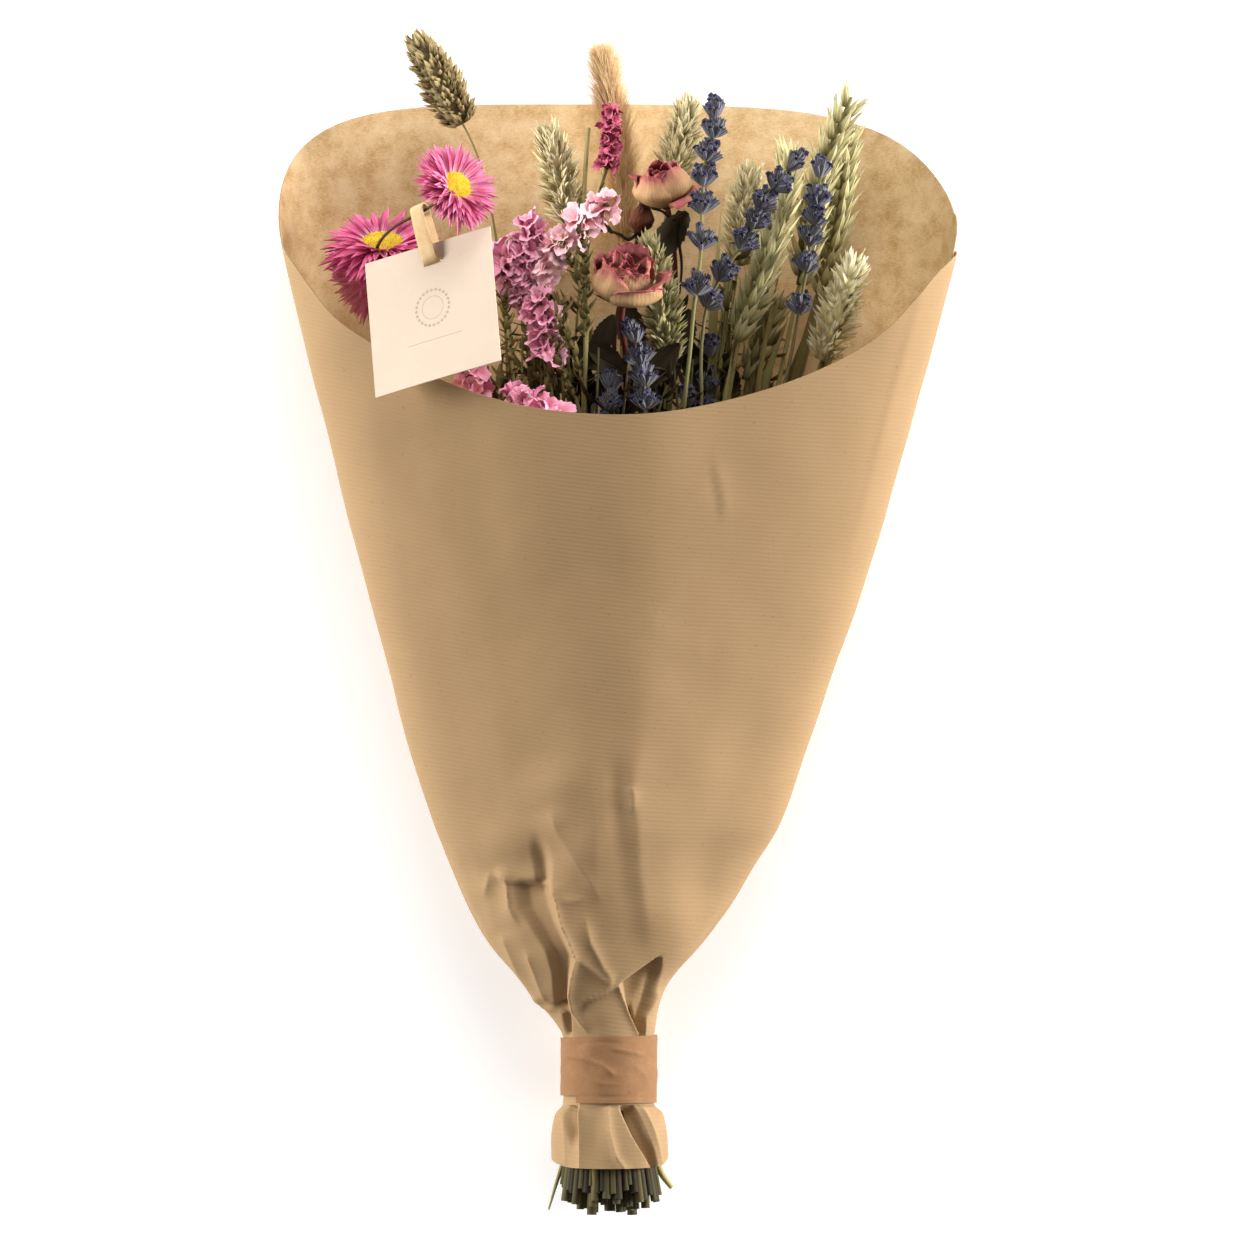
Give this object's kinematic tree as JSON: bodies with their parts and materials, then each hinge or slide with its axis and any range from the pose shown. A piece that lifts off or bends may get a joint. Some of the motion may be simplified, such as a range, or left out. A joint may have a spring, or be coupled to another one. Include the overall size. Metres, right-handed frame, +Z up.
{
  "type": "mixed dried flower bouquet",
  "caption": "Dried wild flowers and grasses in a slanted kraft paper sleeve, taped at the neck, lying on its back, with a small square hang tag on a paper strap.",
  "frame": {"origin": "on the surface that the bouquet lies on, under the middle of its length and width", "axes": "+X to the right seen from above with the flowers away from the viewer, +Y from the cut stems to the flowers, +Z up out of the surface"},
  "size_m": [0.2598, 0.4524, 0.1083],
  "materials": {
    "kraft": "matt ribbed brown kraft paper",
    "tape": "matt redder kraft paper tape",
    "card": "matt pale card",
    "strap": "matt paper ribbon",
    "pink_petal": "dry papery petals",
    "yellow_disc": "velvety florets",
    "twig": "dry stem",
    "canary_grass": "dry husks",
    "wheat": "dry husks",
    "plume": "soft tan hair",
    "statice": "papery florets",
    "rose": "dried petals",
    "lavender": "dry velvety cups",
    "stem": "dry green stem"
  },
  "bodies": {
    "root": {"bare_stem_1": "stem", "bare_stem_2": "stem", "bare_stem_3": "stem", "bare_stem_4": "stem", "bare_stem_5": "stem", "daisy_1_disc": "yellow_disc", "daisy_1_petals": "pink_petal", "daisy_1_stem": "twig", "daisy_2_disc": "yellow_disc", "daisy_2_petals": "pink_petal", "daisy_2_stem": "twig", "daisy_3_disc": "yellow_disc", "daisy_3_petals": "pink_petal", "daisy_3_stem": "twig", "lavender_1": "lavender", "lavender_2": "lavender", "lavender_3": "lavender", "lavender_4": "lavender", "lavender_5": "lavender", "lavender_6": "lavender", "lavender_7": "lavender", "paper_band": "tape", "paper_sleeve": "kraft", "phalaris_1": "canary_grass", "phalaris_2": "canary_grass", "phalaris_3": "canary_grass", "phalaris_4": "canary_grass", "phalaris_5": "canary_grass", "phalaris_6": "canary_grass", "plume": "plume", "rose_1_bloom": "rose", "rose_1_stem": "twig", "rose_2_bloom": "rose", "rose_2_stem": "twig", "rose_3_bloom": "rose", "rose_3_stem": "twig", "statice_1": "statice", "statice_2": "statice", "statice_3": "statice", "statice_4": "statice", "statice_5": "statice", "tag_card": "card", "tag_strap": "strap", "wheat_1": "wheat", "wheat_2": "wheat", "wheat_3": "wheat", "wheat_4": "wheat"}
  },
  "joints": []
}
